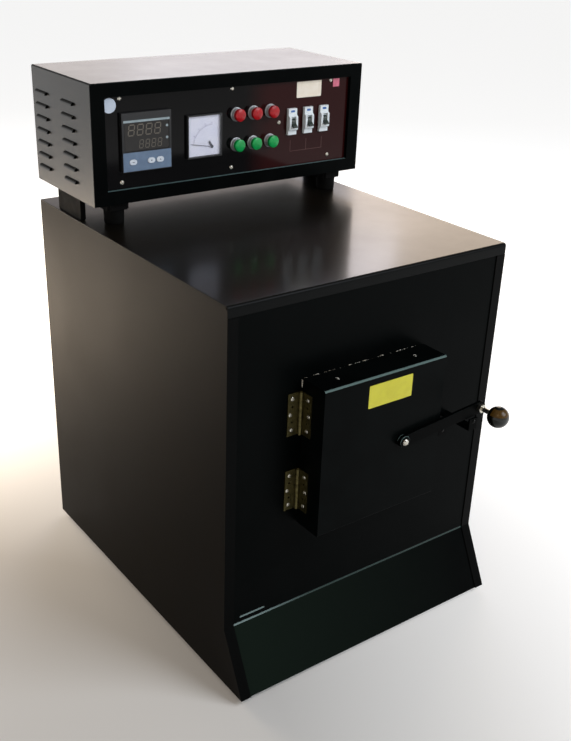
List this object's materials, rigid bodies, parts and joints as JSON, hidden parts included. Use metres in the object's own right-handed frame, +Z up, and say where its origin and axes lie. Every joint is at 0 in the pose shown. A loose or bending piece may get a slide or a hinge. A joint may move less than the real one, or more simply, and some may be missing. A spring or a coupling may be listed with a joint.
{
  "type": "muffle furnace",
  "caption": "Box muffle furnace with a hinged front door, bar latch and a control box on top.",
  "frame": {"origin": "on the floor, below the middle of the whole furnace's bounding box", "axes": "+Z up, -Y out of the front door, +X to the right of someone facing the door"},
  "size_m": [0.5386, 0.744, 0.872],
  "materials": {
    "casing_paint": "semi-gloss black enamel",
    "rubber_feet": "matte black",
    "zinc_screws": "bright zinc plate",
    "black_nylon": "matte black",
    "frame_steel": "grey primer",
    "ceramic_fibre": "off-white pressed ceramic fibre",
    "firebrick": "cream insulating firebrick",
    "muffle_ceramic": "buff fired ceramic",
    "heater_wire": "dark oxidised heating alloy",
    "porcelain": "white glaze",
    "hinge_brass": "dull aged brass",
    "liner_steel": "satin stainless steel",
    "panel_gloss": "gloss black",
    "instrument_black": "matte black",
    "display_smoke": "smoke grey window",
    "fascia_blue": "blue grey",
    "key_grey": "pale grey",
    "dial_white": "matte white",
    "clear_window": "clear",
    "needle_black": "matte black paint",
    "lamp_sleeve": "satin anodised",
    "lens_red": "clear red",
    "lens_green": "clear green",
    "breaker_white": "pale grey",
    "toggle_dark": "dark green black",
    "contactor_grey": "dark grey",
    "bakelite": "polished black"
  },
  "bodies": {
    "furnace": {"left_side_panel": "casing_paint", "right_side_panel": "casing_paint", "top_panel": "casing_paint", "front_plate": "casing_paint", "back_panel": "casing_paint", "base_pan": "casing_paint", "terminal_cover": "casing_paint", "box_cover": "casing_paint", "box_floor": "casing_paint", "box_bezel": "casing_paint", "box_back": "casing_paint", "latch_keeper": "casing_paint", "base_feet": "rubber_feet", "box_feet": "rubber_feet", "casing_screws": "zinc_screws", "front_screws": "zinc_screws", "panel_screws": "zinc_screws", "cable_glands": "black_nylon", "support_frame": "frame_steel", "insulation_boards": "ceramic_fibre", "mouth_collar": "firebrick", "muffle": "muffle_ceramic", "hearth_plate": "muffle_ceramic", "heater_coils": "heater_wire", "thermocouple": "porcelain", "terminal_strips": "porcelain", "hinge_fixed_leaves": "hinge_brass", "hinge_pins": "hinge_brass", "breaker_rail": "liner_steel", "instrument_panel": "panel_gloss", "controller_case": "instrument_black", "meter_case": "instrument_black", "controller_window": "display_smoke", "controller_fascia": "fascia_blue", "meter_dial": "dial_white", "meter_window": "clear_window", "lamp_bodies": "lamp_sleeve", "red_lenses": "lens_red", "green_lenses": "lens_green", "breaker_bodies": "breaker_white", "contactor": "contactor_grey"},
    "door": {"door_shell": "casing_paint", "door_insulation": "ceramic_fibre", "door_liner": "liner_steel", "door_plug": "firebrick", "door_gasket": "ceramic_fibre", "door_screws": "zinc_screws", "hinge_door_leaves": "hinge_brass", "latch_washers": "casing_paint", "latch_bolt": "zinc_screws"},
    "latch": {"latch_bar": "casing_paint", "latch_stud": "zinc_screws", "latch_knob": "bakelite"},
    "toggle_left": {"toggle_1": "toggle_dark"},
    "toggle_middle": {"toggle_2": "toggle_dark"},
    "toggle_right": {"toggle_3": "toggle_dark"},
    "key_left": {"key_1": "key_grey"},
    "key_middle": {"key_2": "key_grey"},
    "key_right": {"key_3": "key_grey"},
    "needle": {"meter_needle": "needle_black"}
  },
  "joints": [
    {"name": "door_hinge", "type": "hinge", "parent": "furnace", "child": "door", "pos_m": [-0.1377, -0.2567, 0.387], "axis": [0, 0, -1], "range_deg": [0, 90]},
    {"name": "latch_pivot", "type": "hinge", "parent": "door", "child": "latch", "pos_m": [0.021, -0.313, 0.387], "axis": [0, -1, 0], "range_deg": [-7, 75]},
    {"name": "toggle_left_hinge", "type": "hinge", "parent": "furnace", "child": "toggle_left", "pos_m": [0.11679, 0.127, 0.782], "axis": [-1, 0, 0], "range_deg": [0, 80]},
    {"name": "toggle_middle_hinge", "type": "hinge", "parent": "furnace", "child": "toggle_middle", "pos_m": [0.15129, 0.127, 0.782], "axis": [-1, 0, 0], "range_deg": [0, 80]},
    {"name": "toggle_right_hinge", "type": "hinge", "parent": "furnace", "child": "toggle_right", "pos_m": [0.18579, 0.127, 0.782], "axis": [-1, 0, 0], "range_deg": [0, 80]},
    {"name": "key_left_press", "type": "slide", "parent": "furnace", "child": "key_left", "axis": [0, 1, 0], "range_m": [0, 0.001], "stiffness_N_per_m": 400},
    {"name": "key_middle_press", "type": "slide", "parent": "furnace", "child": "key_middle", "axis": [0, 1, 0], "range_m": [0, 0.001], "stiffness_N_per_m": 400},
    {"name": "key_right_press", "type": "slide", "parent": "furnace", "child": "key_right", "axis": [0, 1, 0], "range_m": [0, 0.001], "stiffness_N_per_m": 400},
    {"name": "needle_pivot", "type": "hinge", "parent": "furnace", "child": "needle", "pos_m": [-0.04606, 0.1289, 0.756], "axis": [0, 1, 0], "range_deg": [0, 80], "stiffness_Nm_per_rad": 0.0002}
  ]
}
